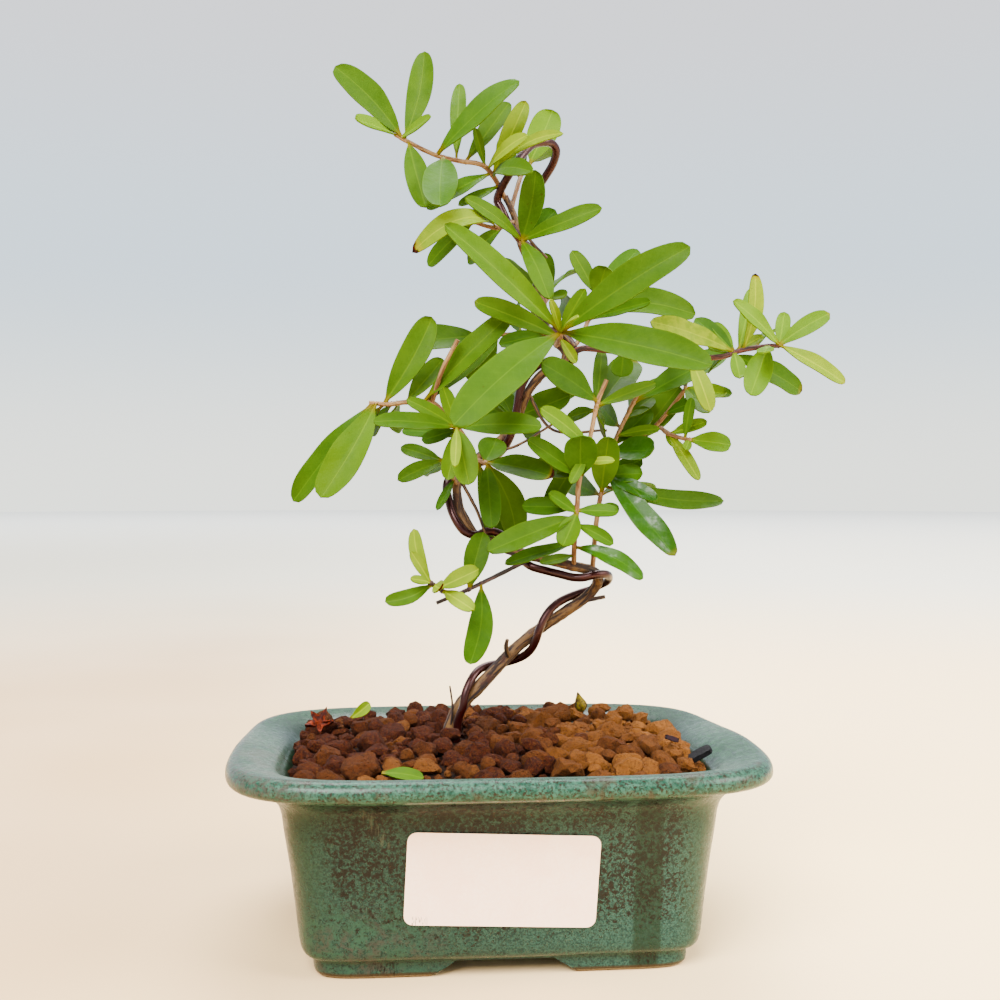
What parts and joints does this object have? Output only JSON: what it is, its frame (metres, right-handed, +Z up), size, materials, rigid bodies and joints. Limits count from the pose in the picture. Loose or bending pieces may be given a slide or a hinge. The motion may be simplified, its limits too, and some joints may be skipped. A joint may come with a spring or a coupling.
{
  "type": "pomegranate bonsai",
  "caption": "Small wired pomegranate bonsai with leafy sprays, growing in granular soil in a green glazed rectangular pot with a wide lip and feet.",
  "frame": {"origin": "under the middle of the whole object's box, on the surface that the pot stands on", "axes": "+X along the pot's long side to the right as seen from the labelled front, front at -Y, +Z up"},
  "size_m": [0.139, 0.1068, 0.2072],
  "materials": {
    "glaze": "mottled green glaze, semi-gloss, bare clay under the feet",
    "screen": "dark plastic mesh",
    "label_paper": "bare white coated paper sticker",
    "granules": "fired clay granules, matt, red-brown to tan",
    "bark": "thin flaking bark, striped brown and tan",
    "wire": "dark brown anodised soft aluminium",
    "leaf_bright": "bright green leaf, satin",
    "leaf_middle": "green leaf, satin",
    "leaf_dark": "dark green older leaf, satin",
    "leaf_yellow": "yellow-green young leaf, satin",
    "dry_litter": "dried plant matter, matt",
    "charred_wood": "black wood chip, matt"
  },
  "bodies": {
    "root": {"pot": "glaze", "drain_screen_left": "screen", "drain_screen_right": "screen", "label": "label_paper", "soil": "granules", "trunk": "bark", "training_wire": "wire", "spray_top_left": "leaf_bright", "spray_apex": "leaf_middle", "spray_below_apex": "leaf_yellow", "spray_upper_rosette": "leaf_bright", "spray_rosette_back": "leaf_middle", "spray_central": "leaf_bright", "spray_behind_centre": "leaf_middle", "branch_right": "leaf_bright", "spray_left": "leaf_bright", "spray_left_front": "leaf_bright", "spray_low_left": "leaf_dark", "spray_dark_left": "leaf_dark", "spray_centre_dark": "leaf_dark", "spray_back_left": "leaf_middle", "shoot_upright_left": "leaf_middle", "shoot_upright_right": "leaf_middle", "shoot_right_inner": "leaf_bright", "shoot_small_right": "leaf_bright", "branch_low_left": "leaf_yellow", "dry_calyx": "dry_litter", "fallen_leaf_front": "leaf_bright", "fallen_leaf_left": "leaf_yellow", "dry_bud": "dry_litter", "wood_chip_right": "charred_wood", "wood_chip_left": "charred_wood"}
  },
  "joints": []
}
